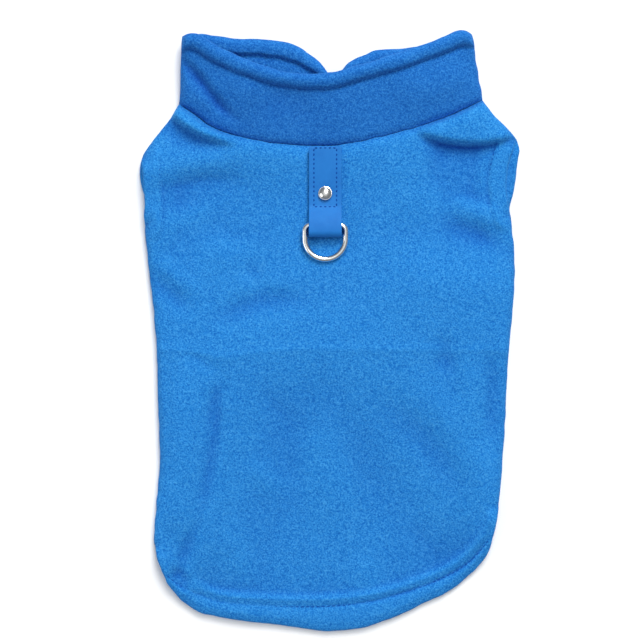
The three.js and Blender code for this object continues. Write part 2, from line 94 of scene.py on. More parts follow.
# Tail hem: its turn, the ridge there and the stitches below. All are softer on the left
SEWN_BELOW_TURN = 5.5
TURN_FROM, TURN_TO = -2, 2.5
SOFT_TURN = 3.5
SOFT_TURN_FADES = (-88, -68)
TURN_RIDGE = 0.8
TURN_RIDGE_BELOW = 0.5
TURN_RIDGE_WIDTH = 2.2
TURN_RIDGE_GROWS = (-80, -64)
LEFT_STITCH_PULL = 0.35
STITCH_PULL_GROWS = (-30, 50)
STITCHES_FROM_EDGE = (2, 6)

# Edges, seams and contact
SEAM_TIP = 0.8
EDGE_ROUNDING = 0.6
THINNEST_CLOTH = 1.3
SOFT_CONTACT = 0.8
EDGE_DRIFT_SIZE, EDGE_DRIFT = 5.5, 0.32
EDGE_SWAY_SIZE, EDGE_SWAY = 15, 0.3
WELD_METRES = 2e-6

# Folds, and the depth of a crease or hollow where the painted shade is darkest, with the grid steps looked at
FOLD_FADE = 0.42
TUCK_FADE = 0.7
CREASE_DEPTH, CREASE_STEPS = 2.2, 4
HOLLOW_DEPTH, HOLLOW_STEPS = 6.5, 30

# Nap: size across, height, and a shift across and up that keeps the layers apart
NAP = ((2.6, 0.07, 0, 0), (4.1, 0.05, 40, 0), (17, 0.12, 0, 0), (43, 0.5, 0, 20))
BELLY_NAP = 0.3
FAR_COLLAR_NAP = 0.5
MOTTLE_CELLS = 256
MOTTLE_START = (97.3, 61.7)

# Grids: how many places, then where they gather: share of the length, width, pull
BACK_ACROSS = (172, (0, 0.02, 1.6), (1, 0.02, 1.6))
BACK_UP = (264, (0, 0.012, 2), (0.055, 0.03, 0.9), (0.9, 0.05, 0.5), (1, 0.015, 2.5))
BELLY_ACROSS = (140, (0, 0.02, 1.6), (1, 0.02, 1.6))
BELLY_UP = (150, (0, 0.02, 2), (1, 0.02, 2))

# Collar
COLLAR_FLAT_WIDTH = 170
COLLAR_HEIGHT = 43
COLLAR_SEAM_HEIGHT = 5
COLLAR_TOP_HEIGHT = 12.5
COLLAR_FOLD = 5
COLLAR_PUFF = 2
COLLAR_RISE_CURVE = 1.3
COLLAR_BASE_GROOVE = 0.9
COLLAR_BASE_REACH = 2
COLLAR_FOLDS_FROM = 3
NEAR_STITCH_PULL, FAR_STITCH_PULL = 1.25, 0.4
INNER_FOLD_SHARE = 0.7
FAR_PUFF_SHARE = 0.7
# Less painted crease shade on the collar: fully on the far wall's inside, and on the near wall growing towards
# its right side over these shares
LESS_PAINTED_SHADE = 0.5
LESS_PAINTED_SHADE_GROWS = (0.4, 0.85)
COLLAR_AROUND = (216, (0, 0.03, 2.5), (1, 0.03, 2.5))
COLLAR_UP = (66, (0, 0.04, 2), (1 - COLLAR_BAND / COLLAR_HEIGHT, 0.05, 2.2), (1, 0.05, 2))

# Stitches
PITCH = 3
STITCH_LENGTH, STITCH_WIDTH = 2.1, 0.62
STITCH_FLATNESS = 0.8
STITCH_SINK = 0.1
UNDER_STITCH_SINK = 0.32
FIRST_STITCH = 0.2
SIDE_CLEARANCE = 2
COLLAR_STITCHES = (0.035, 0.95)

# Leash strap, rivet and ring
NECK_MIDDLE_Y = 107.4
STRAP_X = -2.6
STRAP_WIDTH = 18.8
STRAP_TOP = 106.4
STRAP_FOLD = 54.4
STRAP_SEWN_FROM = 71
LEATHER = 1.2
ROUNDED_EDGE = 0.3
STRAP_GAP = 0.5
PLY_GAP = 0.05
UNDER_PLY = (63, 104)
STITCH_INSET = 2.9
STITCH_DENT, STITCH_DENT_REACH = 0.28, 0.9
STRAP_PITCH, STRAP_STITCH_SPAN = 2.5, 1.4
STRAP_STITCH = (1.5, 0.85)
SIDE_STITCH_SINK, END_STITCH_SINK = 0.25, 0.02
RIVET_Y = 79.7
RIVET_RADIUS = 4
RIVET_HEIGHT = 2.2
RIVET_BRIM = 0.75
RIVET_DOME_RADIUS = 3.55
RIVET_DENT, RIVET_DENT_BEYOND = 0.3, 1.6
RING_WIRE = 3.4
RING_WIDTH = 26.8
RING_BAR_Y = 61.4
RING_LOWEST_Y = 40.2
RING_CORNER = 3.2
RING_CLEARANCE = 0.6

# Sides of both panels up to the collar: height, then left back, left belly, right back and right belly
SIDE_EDGES = (
    (-80, -98.3, -98.3, 99.4, 99.4), (-55, -98.4, -98.4, 101.1, 101.1), (-27, -99.2, -99.2, 102.4, 102.4),
    (0, -100.3, -100.3, 104.4, 104.4), (25, -102.8, -102.8, 106.3, 106.3), (46, -105.4, -105.4, 106.4, 106.4),
    (62, -106.5, -106.5, 104.6, 104.6), (72, -106.3, -104.8, 102.7, 103.9), (82, -106.5, -107.7, 101.4, 106.4),
    (92, -107, -109.4, 102.2, 107.8), (100, -107.4, -108.2, 103.5, 108.9), (106, -104.9, -104.9, 105.6, 109.3),
    (112, -100.9, -100.9, 106.3, 106.6), (117, -96.8, -96.8, 102.6, 102.6), (124, -91.4, -91.4, 95.4, 95.4),
)
LEFT_FOOT = ((-93.5, -144), (-98.6, -131.5), (-101.2, -118), (-99.9, -99))
RIGHT_FOOT = ((83, -138), (91.4, -126.6), (94.8, -114), (97.4, -100.5))
BOTTOM_HEM = (
    (-93.5, -144), (-85, -154.8), (-75, -161.6), (-59, -165.5), (-31, -168.9), (-2.7, -172.6),
    (11.6, -171.8), (26.6, -168.4), (43.8, -161.7), (58.2, -154.8), (71.4, -147.9), (83, -138),
)
HEM_TURN = (
    (-93, -131), (-86, -139.5), (-76, -145), (-62, -149.8), (-39, -152), (-5.6, -152.6), (20.8, -150.2),
    (40, -145.4), (50, -142), (61, -137.6), (75, -129.6), (86, -117), (92, -104),
)
BELLY_HEM = (
    (-101.1, -122.6), (-90.7, -115), (-79.2, -98), (-70, -75), (-64.8, -50), (-58, -29.5),
    (-46, -16), (-22.9, -11), (8.8, -12.2), (27.2, -22), (46.1, -41), (66.3, -66.3),
    (80.6, -85.8), (89.3, -95.6), (97.3, -100.8),
)
NECK_LEFT = (-87, 131.5)
NECK_RIGHT = (88.4, 133.8)
BACK_NECK = (
    NECK_LEFT, (-77.5, 124.3), (-67.7, 118), (-51.6, 112.6), (-35.5, 109.6), (-10.8, 107.4),
    (7.6, 107.9), (29.5, 112.4), (45.6, 116.8), (61.7, 122), (77.8, 128.3), NECK_RIGHT,
)
BELLY_NECK = (
    NECK_LEFT, (-74.6, 128.6), (-43, 125.8), (-25.7, 122.4), (-10.2, 116.6), (1.9, 110.8),
    (12.8, 115.6), (27.7, 121), (43.3, 124), (63.4, 126.9), (77.8, 129.8), NECK_RIGHT,
)
COLLAR_LEFT = (-84.7, 169.2)
COLLAR_RIGHT = (81.4, 170.8)
COLLAR_NEAR = (
    COLLAR_LEFT, (-77.5, 170.6), (-66, 164.4), (-52, 157.6), (-38, 152.2), (-20, 147.9), (-2.7, 147.6),
    (19, 153), (36, 158.6), (52.5, 163.9), (65, 168.9), (74, 172.3), COLLAR_RIGHT,
)
COLLAR_FAR = (
    COLLAR_LEFT, (-79.2, 172.1), (-67, 171.2), (-53, 169.6), (-39, 169.2), (-23.4, 167), (-14.2, 162.8),
    (-5.6, 156), (1.9, 146.6), (10.8, 155.6), (18.5, 159.6), (28.3, 163), (42, 164.2), (58, 166.3),
    (72, 169.6), COLLAR_RIGHT,
)

# Heights up each side where the side seam starts and the armhole starts and ends
LEFT_SIDE = (-122.6, 61, 101)
RIGHT_SIDE = (-100.8, 67, 109.5)

# Soft folds of the back panel: half width, height (below 0 for a trough), then the places it runs through
BACK_FOLDS = (
    (15, 3, ((-118, 90), (-101, 93), (-80, 96), (-56, 98), (-38, 100))),
    (13, -2.4, ((-116, 72), (-99, 77), (-82, 82), (-60, 87), (-40, 92))),
    (12, 0.9, ((-108, 60), (-82, 66), (-52, 74))),
    (21, -4.4, ((50, 99), (68, 96), (84, 90), (100, 84), (116, 76))),
    (24, 1.6, ((34, 112), (42, 96), (46, 78), (50, 56))),
    (12, 2.4, ((66, 78), (80, 71), (92, 67), (104, 66))),
    (10, -2, ((58, 68), (72, 61), (86, 56), (108, 53))),
    (8, -0.8, ((92, 94), (95, 80), (98, 60))),
    (9, -1.7, ((-108, 38), (-97, 28), (-86, 18), (-74, 9))),
    (9, 1.2, ((-108, 50), (-92, 34), (-68, 18))),
    (10, -1.5, ((-76, 4), (-58, 10), (-40, 17), (-18, 18), (-2, 15))),
    (10, 1, ((-70, 20), (-46, 27), (-10, 29))),
    (9, -1, ((-50, 46), (-42, 32), (-35, 16))),
    (16, -1.2, ((-76, 76), (-55, 62), (-30, 58))),
    (34, -1.5, ((-130, 74), (-60, 66), (10, 66))),
    (17, 1.2, ((-84, 42), (-60, 46), (-32, 52))),
    (60, 2.4, ((-210, -10), (210, -10))),
    (44, 3.4, ((-6, 30), (40, 22), (90, 14), (130, 8))),
    (22, 1.8, ((24, 42), (66, 32), (124, 26))),
    (8, -1.9, ((-62, -6), (-62, -26), (-66, -42), (-67, -62), (-71, -88), (-77, -110), (-83, -128))),
    (5.5, -0.8, ((-63, -26), (-66, -44), (-66, -60))),
    (7, -1.5, ((-74, -104), (-83, -126), (-90, -146))),
    (6, -0.9, ((-88, -9), (-74, -16), (-60, -26))),
    (15, 1.8, ((-84, 0), (-85, -30), (-86, -64), (-89, -110))),
    (16, -1.9, ((16, -22), (38, -46), (60, -68), (76, -92), (90, -118))),
    (15, 1.3, ((44, -22), (66, -48), (84, -78), (96, -104))),
    (6.5, -2.6, ((-93, -134), (-87, -141), (-81, -150))),
    (12, -1.5, ((-94, -104), (-90, -120), (-84, -138))),
    (11, -2.2, ((-98, -146), (-72, -157), (-36, -161), (-2, -161))),
    (13, -1.2, ((-34, -122), (-22, -138), (-12, -156))),
    (12, -1.2, ((40, -112), (50, -128), (60, -142))),
    (11, 1.8, ((78, -6), (81, -34), (80, -66))),
    (9, -1.5, ((93, 0), (94, -34), (92, -76))),
    (8, -1, ((64, 2), (67, -12), (66, -28))),
    (11, 1, ((-52, -72), (-36, -86), (-20, -96))),
    (22, 1.9, ((-10, -30), (-2, -74), (6, -122))),
    (14, 1.2, ((-64, -104), (-54, -128), (-46, -152))),
    (14, 1, ((14, -128), (20, -140), (24, -156))),
)

# Tucks of the back panel, where a fold hangs over a hollow: rise and width of the fold on the line's left,
# depth and width of the hollow on its right, then the places the line runs through
BACK_TUCKS = (
    (3.8, 12, 1, 13, ((46, 116), (58, 112), (68, 109), (80, 107.4), (92, 108), (101, 111), (109, 117))),
    (3.6, 2.6, 2.8, 2.4, (
        (50, 114), (60, 110.4), (70, 107.6), (80, 106.6), (90, 107.2), (99, 109.4), (106, 113),
    )),
    (4.2, 3.4, 2.6, 4.2, ((-98, 130), (-90, 123), (-83, 117), (-75, 112.6), (-66, 109.6), (-54, 106.4))),
)

# The crease across the middle where the coat was folded to pack it: height, half width and its places
BACK_CREASES = (
    (0.9, 4.5, (
        (-108, -10.4), (-88, -10), (-78, -11), (-68, -13.4), (-58, -14), (-46, -11.8), (-24, -10), (40, -9.8),
        (110, -10.4),
    )),
)

# Folds on the belly panel's hidden side and on the collar's near wall
BELLY_FOLDS = (
    (9, 0.7, ((-98, 84), (-70, 74), (-48, 78))),
    (8, 0.6, ((96, 92), (74, 80), (60, 66))),
    (7, 0.5, ((-96, 20), (-78, 8))),
    (10, 0.5, ((70, 8), (52, 16), (22, 18))),
    (6, 0.55, ((-99, -44), (-84, -60))),
    (7, 0.5, ((98, -30), (80, -48))),
    (9, 0.45, ((-20, 60), (-8, 36), (-14, 12))),
    (8, 0.5, ((30, 104), (16, 84))),
)
COLLAR_FOLDS = (
    (4.4, -3.4, ((-94, 164), (-84, 155), (-76, 146), (-69, 137), (-61, 128), (-48, 118))),
    (11, 1.6, ((-90, 138), (-78, 136), (-66, 126))),
    (16, -1.5, ((-44, 142), (-24, 131), (0, 118))),
    (15, 1.2, ((-66, 152), (-50, 138), (-40, 124))),
    (12, -0.9, ((46, 138), (60, 149), (78, 160))),
    (20, 2.8, ((30, 130), (60, 142), (94, 150))),
    (9, -0.7, ((76, 166), (82, 152), (84, 138))),
)


# Lines and distances

def rounded(points, spacing=1.2):
    """A rounded line through the points, as evenly spaced places."""
    points = np.array(points, float)
    before = 2 * points[0] - points[1]
    after = 2 * points[-1] - points[-2]
    spread_points = np.vstack([before, points, after])
    places_each_span = 40
    share = np.linspace(0, 1, places_each_span, endpoint=False)[:, None]
    traced = []
    for index in range(1, len(spread_points) - 2):
        p0, p1, p2, p3 = spread_points[index - 1 : index + 3]
        spans = ((p0, p1), (p1, p2), (p2, p3))
        step0, step1, step2 = (math.sqrt(np.linalg.norm(end - start)) for start, end in spans)
        leave = ((p1 - p0) / step0 - (p2 - p0) / (step0 + step1) + (p2 - p1) / step1) * step1
        arrive = ((p2 - p1) / step1 - (p3 - p1) / (step1 + step2) + (p3 - p2) / step2) * step1
        bend2 = -3 * p1 + 3 * p2 - 2 * leave - arrive
        bend3 = 2 * p1 - 2 * p2 + leave + arrive
        traced.append(p1 + leave * share + bend2 * share**2 + bend3 * share**3)
    traced = np.vstack([*traced, points[-1:]])
    count = int(run_length(traced)[-1] / spacing) + 2
    return along(traced, np.linspace(0, 1, count))


def run_length(line):
    """Length run from the line's start to each of its places."""
    steps = np.linalg.norm(np.diff(line, axis=0), axis=1)
    return np.concatenate([[0], np.cumsum(steps)])


def along(line, shares):
    """Places at the given shares of a line's length."""
    run = run_length(line)
    return np.stack([np.interp(shares * run[-1], run, line[:, axis]) for axis in range(2)], -1)


def nearest(line, x, y):
    """For each place: distance to a line, the line's nearest point, its share of the run, if it lies left."""
    best = np.full(x.shape, np.inf)
    near_x, near_y, run_share = np.zeros(x.shape), np.zeros(x.shape), np.zeros(x.shape)
    left = np.zeros(x.shape, bool)
    run = run_length(line)
    for index, (start, end) in enumerate(zip(line[:-1], line[1:])):
        step = end - start
        share = np.clip(((x - start[0]) * step[0] + (y - start[1]) * step[1]) / (step @ step), 0, 1)
        at_x = start[0] + share * step[0]
        at_y = start[1] + share * step[1]
        distance = np.hypot(x - at_x, y - at_y)
        closer = distance < best
        best[closer] = distance[closer]
        near_x[closer] = at_x[closer]
        near_y[closer] = at_y[closer]
        run_share[closer] = (run[index] + share * (run[index + 1] - run[index]))[closer] / run[-1]
        left[closer] = (step[0] * (y - start[1]) - step[1] * (x - start[0]) > 0)[closer]
    return best, near_x, near_y, run_share, left


def signed(line, x, y):
    """Distance to a line, above 0 on its left and below 0 on its right."""
    distance, _, _, _, left = nearest(line, x, y)
    return np.where(left, distance, -distance)


def nearest_of(lines, x, y):
    """Distance to the nearest of several lines, and its nearest point."""
    best, near_x, near_y = nearest(lines[0], x, y)[:3]
    for line in lines[1:]:
        distance, at_x, at_y = nearest(line, x, y)[:3]
        closer = distance < best
        best = np.where(closer, distance, best)
        near_x = np.where(closer, at_x, near_x)
        near_y = np.where(closer, at_y, near_y)
    return best, near_x, near_y


def ease(low, high, value):
    """0 below the first value, 1 above the second, smooth between."""
    share = np.clip((value - low) / (high - low), 0, 1)
    return share * share * (3 - 2 * share)


def quarter_round(distance, radius):
    """Rises from 0 to 1 over the radius, as the edge of a rolled cloth does."""
    inside = 1 - np.clip(distance / radius, 0, 1)
    return np.sqrt(1 - inside**2)


def mottle(x, y, size, seed):
    """Soft uneven ups and downs between -1 and 1, each about the given size across."""
    cells = MOTTLE_CELLS
    values = np.random.RandomState(seed).uniform(-1, 1, (cells, cells))
    u, v = x / size + MOTTLE_START[0], y / size + MOTTLE_START[1]
    column, row = np.floor(u).astype(int), np.floor(v).astype(int)
    across, up = ease(0, 1, u - column), ease(0, 1, v - row)
    corner = lambda right, top: values[(column + right) % cells, (row + top) % cells]
    low = corner(0, 0) * (1 - across) + corner(1, 0) * across
    high = corner(0, 1) * (1 - across) + corner(1, 1) * across
    return low * (1 - up) + high * up


def nap(x, y, seed):
    """Brushed fleece never lies quite level: tufts, clumps of pile, and the slack of the cloth."""
    layers = (mottle(x + right, y + up, size, seed + step) * rise
              for step, (size, rise, right, up) in enumerate(NAP))
    return sum(layers)


# Folds

def fold_height(folds, x, y):
    """Soft ridges and troughs, round in section and fading out at both ends."""
    height = np.zeros(x.shape)
    for half_width, rise, path in folds:
        distance, _, _, run_share, _ = nearest(rounded(path, 4), x, y)
        fade = ease(0, FOLD_FADE, run_share) * ease(0, FOLD_FADE, 1 - run_share)
        height += rise * fade * np.exp(-((distance / half_width) ** 2) * 2)
    return height


def tuck_height(tucks, x, y):
    """Folds that hang over a hollow: a full roll on one side of a line and a dip on the other."""
    height = np.zeros(x.shape)
    for rise, rise_width, dip, dip_width, path in tucks:
        distance, _, _, run_share, left = nearest(rounded(path, 2.5), x, y)
        width = np.where(left, rise_width, dip_width)
        swell = distance / width * np.exp(1 - distance / width)
        fade = np.sin(math.pi * run_share) ** TUCK_FADE
        height += np.where(left, rise, -dip) * swell * fade
    return height


def crease_height(creases, x, y):
    """Sharp low ridges where the cloth was pressed double."""
    height = np.zeros(x.shape)
    for rise, width, path in creases:
        height += rise * np.exp(-nearest(rounded(path, 3), x, y)[0] / width)
    return height


# The coat's edges

def wavering(line, seed=71):
    """A cut and sewn edge is never quite true."""
    x, y = line[:, 0], line[:, 1]
    drift, sway = (
        np.stack([mottle(x, y, size, first), mottle(x, y, size, first + 1)], -1) * reach
        for size, reach, first in ((EDGE_DRIFT_SIZE, EDGE_DRIFT, seed), (EDGE_SWAY_SIZE, EDGE_SWAY, seed + 2))
    )
    return line + drift + sway


def side_edge(foot, column, corner):
    """A panel's side, from its lowest place at the foot up to its corner at the neck."""
    return wavering(rounded([*foot, *((row[column], row[0]) for row in SIDE_EDGES), corner]))


def split_edge(line, side):
    """The sewn runs and the hemmed runs of a side edge."""
    shortest_hem = 4
    seam_from, armhole_from, armhole_to = side
    y = line[:, 1]
    sewn = ((y > seam_from) & (y < armhole_from)) | (y > armhole_to)
    runs = {True: [], False: []}
    start = 0
    for index in range(1, len(line)):
        if index == len(line) - 1 or sewn[index] != sewn[start]:
            runs[bool(sewn[start])].append(line[start : index + 1])
            start = index
    return runs[True], [run for run in runs[False] if len(run) > shortest_hem]


def seams_and_hems(edges):
    """The sewn runs and the hemmed runs of both sides of a panel."""
    left_seams, left_hems = split_edge(edges["left"], LEFT_SIDE)
    right_seams, right_hems = split_edge(edges["right"], RIGHT_SIDE)
    return left_seams + right_seams, left_hems + right_hems


back_edges = {
    "bottom": wavering(rounded(BOTTOM_HEM)),
    "top": wavering(rounded(BACK_NECK)),
    "left": side_edge(LEFT_FOOT, 1, NECK_LEFT),
    "right": side_edge(RIGHT_FOOT, 3, NECK_RIGHT),
}
belly_edges = {
    "bottom": wavering(rounded(BELLY_HEM)),
    "top": wavering(rounded(BELLY_NECK)),
    "left": side_edge((BELLY_HEM[0], (-101.2, -118), (-99.9, -99)), 2, NECK_LEFT),
    "right": side_edge((BELLY_HEM[-1],), 4, NECK_RIGHT),
}
back_seams, back_side_hems = seams_and_hems(back_edges)
back_armholes = [line for line in back_side_hems if line[0][1] > 0]
back_hem = [back_edges["bottom"], *(line for line in back_side_hems if line[0][1] < 0)]
belly_seams, belly_armholes = seams_and_hems(belly_edges)
hem_turn = rounded(HEM_TURN)


def spread(count, *gathers):
    """Shares of a length from 0 to 1, gathered closer round some places: share, width, pull."""
    fine_places = 4001
    fine = np.linspace(0, 1, fine_places)
    closeness = np.ones(fine.shape)
    for place, width, pull in gathers:
        closeness += pull * np.exp(-(((fine - place) / width) ** 2))
    total = np.concatenate([[0], np.cumsum((closeness[1:] + closeness[:-1]) / 2)])
    return np.interp(np.linspace(0, 1, count), total / total[-1], fine)


def patch(edges, across, up):
    """Places of a patch stretched between four edges."""
    u = across[None, :, None]
    v = up[:, None, None]
    bottom = along(edges["bottom"], across)[None]
    top = along(edges["top"], across)[None]
    left = along(edges["left"], up)[:, None]
    right = along(edges["right"], up)[:, None]
    corners = (1 - u) * (1 - v) * bottom[:, :1] + u * (1 - v) * bottom[:, -1:]
    corners = corners + (1 - u) * v * top[:, :1] + u * v * top[:, -1:]
    places = (1 - v) * bottom + v * top + (1 - u) * left + u * right - corners
    return places[..., 0], places[..., 1]


# Heights of the cloth

def stitch_groove(distance, x, y, seed):
    """A sewn line pulls the cloth down, a little more at each stitch than between."""
    unevenness, stitch_size = 0.3, 3.5
    pull = STITCH_DEPTH * (1 + unevenness * mottle(x, y, stitch_size, seed))
    return -pull * np.exp(-((distance / STITCH_HALF_WIDTH) ** 2))


def hem_roll(distance, band):
    """Cloth turned double swells between its edge and its stitches."""
    return HEM_PUFF * np.sin(math.pi * np.clip(distance / band, 0, 1))


def within_band(distance, band):
    """1 where the cloth is turned double, easing to 0 at the stitched edge of the band."""
    half = 1.5
    return 1 - ease(band - half, band + half, distance)


def back_heights(x, y):
    """Heights of the back panel's two faces."""
    past = signed(belly_edges["bottom"], x, y)
    hem_top = 2
    climb = ease(-DROP_PAST_HEM, hem_top, past)
    seam = nearest_of(back_seams, x, y)[0]
    armhole = nearest_of(back_armholes, x, y)[0]
    neck = nearest(back_edges["top"], x, y)[0]
    on_hem = np.maximum(1 - ease(ARCH_BAND / 2, HEM_TELEGRAPH, past),
                        1 - ease(ARMHOLE_TELEGRAPH / 2, ARMHOLE_TELEGRAPH, armhole))
    on_belly = OVER_BELLY + (OVER_BELLY_HEM - OVER_BELLY) * on_hem
    puff = SIDE_PUFF * seam / SIDE_PUFF_PEAK * np.exp(1 - seam / SIDE_PUFF_PEAK)
    held_down = NECK_HELD_DOWN * np.exp(-((neck / NECK_HELD_REACH) ** 2))
    neck_rise = NECK_RISE * (1 - ease(0, NECK_RISE_REACH, neck)) * (1 - held_down)
    rest = climb * (on_belly + puff + neck_rise)
    folds = fold_height(BACK_FOLDS, x, y) + tuck_height(BACK_TUCKS, x, y) + crease_height(BACK_CREASES, x, y)
    folds *= ease(0, NECK_FOLDS_FROM, neck)

    turned = signed(hem_turn, x, y)
    sewn = turned + SEWN_BELOW_TURN
    bottom = nearest_of(back_hem, x, y)[0]
    sewn_apart = ease(0, HEM_FADE, seam)
    softness = 1 + SOFT_TURN * (1 - ease(*SOFT_TURN_FADES, x))
    hem_double = 1 - ease(TURN_FROM * softness, TURN_TO * softness, turned)
    doubled = np.maximum(hem_double, within_band(armhole, ARMHOLE_BAND))
    doubled *= sewn_apart
    thickness = CLOTH + (BODY_HEM - CLOTH) * doubled
    swell = hem_roll(bottom, np.maximum(bottom - sewn, 1)) * (sewn < 0)
    from_ridge = (turned + TURN_RIDGE_BELOW) / TURN_RIDGE_WIDTH
    swell += TURN_RIDGE * np.exp(-(from_ridge**2)) * ease(*TURN_RIDGE_GROWS, x)
    strength = LEFT_STITCH_PULL + (1 - LEFT_STITCH_PULL) * ease(*STITCH_PULL_GROWS, x)
    pull = stitch_groove(sewn, x, y, 31) * ease(*STITCHES_FROM_EDGE, bottom) * strength
    arm_pull = stitch_groove(armhole - ARMHOLE_BAND, x, y, 32) * ARMHOLE_PULL
    valley = -NECK_GROOVE * np.exp(-((neck / NECK_GROOVE_REACH) ** 2))
    belly_thickness = CLOTH + (BODY_HEM - CLOTH) * on_hem + SEAM_GAP
    belly = belly_thickness * quarter_round(np.maximum(past, 0), BODY_HEM / 2)
    clear = rest + folds - belly
    low = belly + (clear + np.sqrt(clear**2 + SOFT_CONTACT * climb)) / 2
    hems = (swell * ease(*HEM_PUFF_GROWS, bottom) + pull + arm_pull) * sewn_apart
    high = low + thickness + hems + valley
    return low, np.maximum(high, low + THINNEST_CLOTH)


def belly_heights(x, y):
    """Heights of the belly panel's two faces."""
    seam = nearest_of(belly_seams, x, y)[0]
    arch = nearest(belly_edges["bottom"], x, y)[0]
    armhole = nearest_of(belly_armholes, x, y)[0]
    sewn_apart = ease(0, HEM_FADE, seam)
    doubled = np.maximum(within_band(arch, ARCH_BAND), within_band(armhole, ARMHOLE_BAND)) * sewn_apart
    folds = fold_height(BELLY_FOLDS, x, y)
    pull = stitch_groove(arch - ARCH_BAND, x, y, 33) + stitch_groove(armhole - ARMHOLE_BAND, x, y, 34)
    pull *= BELLY_PULL * sewn_apart
    return folds - pull, folds + CLOTH + (BODY_HEM - CLOTH) * doubled + pull


# Cloth pieces

def deselect():
    bpy.ops.object.select_all(action="DESELECT")


def only(obj):
    """Selects one object alone and makes it active."""
    deselect()
    obj.select_set(True)
    bpy.context.view_layer.objects.active = obj


def edit_all():
    """Opens the active mesh with all of it selected."""
    bpy.ops.object.mode_set(mode="EDIT")
    bpy.ops.mesh.select_all(action="SELECT")


def leave_edit():
    bpy.ops.object.mode_set(mode="OBJECT")


def round_edges(obj, name, segments, sharper_than):
    """Rounds the edges that turn by more degrees than given."""
    soften = obj.modifiers.new(name, "BEVEL")
    soften.width = ROUNDED_EDGE * MILLIMETRE
    soften.segments = segments
    soften.angle_limit = math.radians(sharper_than)
    only(obj)
    for modifier in list(obj.modifiers):
        bpy.ops.object.modifier_apply(modifier=modifier.name)
    bpy.ops.object.shade_smooth_by_angle(angle=math.radians(50))


def smoothed(heights, reach):
    """Heights averaged over so many steps of the grid each way."""
    weights = np.hanning(2 * reach + 3)[1:-1]
    weights /= weights.sum()
    for axis in (0, 1):
        margins = [(reach, reach) if side == axis else (0, 0) for side in (0, 1)]
        padded = np.pad(heights, margins, mode="edge")
        heights = np.apply_along_axis(np.convolve, axis, padded, weights, "valid")
    return heights


def sunken(heights):
    """How far each place lies in a hollow, which sets the fleece's painted shade: 0 on a ridge, 0.5 on even
    cloth and 1 in a crease.
    """
    narrow = (smoothed(heights, CREASE_STEPS) - heights) / CREASE_DEPTH
    wide = (smoothed(heights, HOLLOW_STEPS) - heights) / HOLLOW_DEPTH
    return np.clip(0.5 + 0.5 * (narrow + wide), 0, 1)


def skin(name, points, crease_shade=None):
    """A grid whose corners lie on the given rows of places."""
    rows, columns, _ = points.shape
    deselect()
    bpy.ops.mesh.primitive_grid_add(x_subdivisions=columns - 1, y_subdivisions=rows - 1, size=1)
    grid = bpy.context.active_object
    grid.name = name
    grid.data.vertices.foreach_set("co", (points * MILLIMETRE).astype(np.float32).ravel())
    grid.data.update()
    # The weights of the painted crease shade are kept as a point attribute
    if crease_shade is not None:
        depth = grid.data.attributes.new("crease_shade", "FLOAT", "POINT")
        depth.data.foreach_set("value", crease_shade.astype(np.float32).ravel())
    return grid


def closed_shell(name, high, low, high_sunk, low_sunk=None):
    """One closed shell of cloth from its upper and lower skins, welded where they meet."""
    even = np.full(high.shape[:2], 0.5)
    upper = skin(name, high, high_sunk)
    lower = skin(name + "_underside", low, even if low_sunk is None else low_sunk)
    only(lower)
    edit_all()
    bpy.ops.mesh.flip_normals()
    leave_edit()
    upper.select_set(True)
    bpy.context.view_layer.objects.active = upper
    bpy.ops.object.join()
    shell = bpy.context.active_object
    shell.data.name = name
    edit_all()
    bpy.ops.mesh.remove_doubles(threshold=WELD_METRES)
    leave_edit()
    bpy.ops.object.shade_smooth()
    return shell


def close_edge(outer, inner, closeness):
    """Draws the inner skin to the outer one, and both to their middle height, as closeness falls to 0."""
    middle = (outer[..., 2] + inner[..., 2]) / 2
    inner = outer + (inner - outer) * closeness[..., None]
    outer = outer.copy()
    inner[..., 2] = middle - (outer[..., 2] - middle) * closeness
    outer[..., 2] = middle + (outer[..., 2] - middle) * closeness
    return outer, inner


def roll_to_seam(outer, inner, seams, side):
    """Rolls a panel's edges round to its seams: side is 1 for the back panel and -1 for the belly."""
    x, y = outer[..., 0].copy(), outer[..., 1].copy()
    distance, near_x, near_y = nearest_of(seams, x, y)
    turn = quarter_round(distance, SEAM_ROLL)
    meet = SEAM_HEIGHT + side * SEAM_GAP / 2
    outer[..., 2] = meet + (outer[..., 2] - meet) * turn
    inner[..., 2] = meet + (inner[..., 2] - meet) * turn
    reach = np.maximum(distance, 1e-6)
    shift = CLOTH * np.clip(1 - distance / SEAM_ROLL, 0, 1) * np.clip(distance / SEAM_TIP, 0, 1)
    inner[..., 0] += (x - near_x) / reach * shift
    inner[..., 1] += (y - near_y) / reach * shift


def join_rims(first, second):
    """Makes the two skins share their outer edge."""
    for edge in (np.s_[:, 0], np.s_[:, -1], np.s_[0], np.s_[-1]):
        second[edge] = first[edge]


def back_panel():
    """The long upper panel, lying on the belly panel and dropping to the floor past its hem."""
    x, y = patch(back_edges, spread(*BACK_ACROSS), spread(*BACK_UP))
    low_z, high_z = back_heights(x, y)
    high = np.stack([x, y, high_z + nap(x, y, 11)], -1)
    low = np.stack([x, y, low_z], -1)
    roll_to_seam(high, low, back_seams, 1)
    hem = nearest_of([*back_hem, *back_armholes], x, y)[0]
    neck = nearest(back_edges["top"], x, y)[0]
    closeness = np.minimum(quarter_round(hem, BODY_HEM * EDGE_ROUNDING), quarter_round(neck, CLOTH / 2))
    high, low = close_edge(high, low, closeness)
    join_rims(high, low)
    # The upper skin carries the weights of the painted shade in its creases and hollows
    return closed_shell("coat_back_panel", high, low, sunken(high_z))


